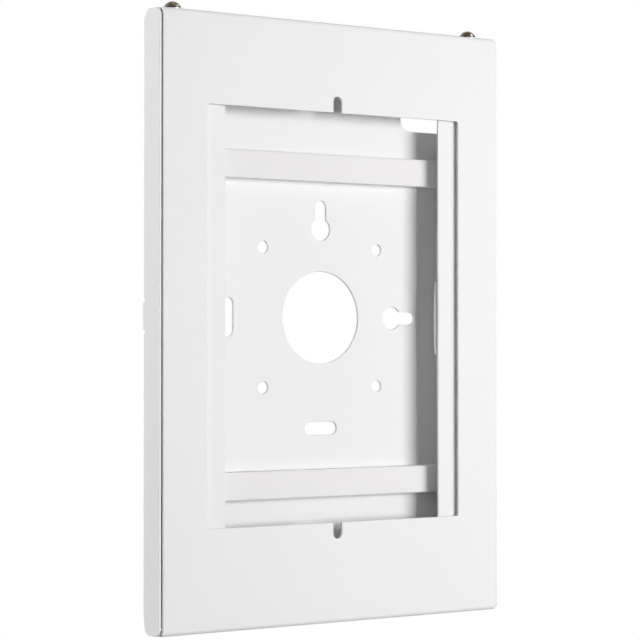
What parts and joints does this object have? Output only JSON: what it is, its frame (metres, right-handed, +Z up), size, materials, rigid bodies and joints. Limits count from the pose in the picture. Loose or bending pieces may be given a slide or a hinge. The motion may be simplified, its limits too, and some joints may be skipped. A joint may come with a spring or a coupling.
{
  "type": "tablet wall mount",
  "caption": "Lockable wall mount for a tablet: a folded tray that screws to the wall and a folded cover with a window, held by security screws.",
  "frame": {"origin": "centre of the square screw pattern, on the wall plane (rear face of the tray)", "axes": "+X to the right seen from the front, +Y into the wall, +Z up"},
  "size_m": [0.2222, 0.0175, 0.3265],
  "materials": {
    "powder_coat": "fine satin powder coat, white",
    "foam": "matt closed-cell foam, white",
    "rubber": "matt rubber, dark grey",
    "zinc": "bright zinc plating",
    "stainless": "turned stainless steel, polished by tumbling"
  },
  "bodies": {
    "root": {"rear_tray": "powder_coat", "front_cover": "powder_coat", "side_rail_left": "powder_coat", "side_rail_right": "powder_coat", "tablet_ledge": "powder_coat", "foam_strip_top": "foam", "foam_strip_bottom": "foam", "rail_pad": "foam", "ledge_pad": "rubber", "rail_left_lower_stud": "zinc", "rail_left_lower_nut": "zinc", "rail_left_upper_stud": "zinc", "rail_left_upper_nut": "zinc", "rail_right_lower_stud": "zinc", "rail_right_lower_nut": "zinc", "rail_right_upper_stud": "zinc", "rail_right_upper_nut": "zinc", "ledge_left_stud": "zinc", "ledge_left_nut": "zinc", "ledge_right_stud": "zinc", "ledge_right_nut": "zinc", "cover_screw_left": "stainless", "cover_screw_right": "stainless", "screw_washer_left": "zinc", "screw_washer_right": "zinc", "press_nut_left": "zinc", "press_nut_right": "zinc"}
  },
  "joints": []
}
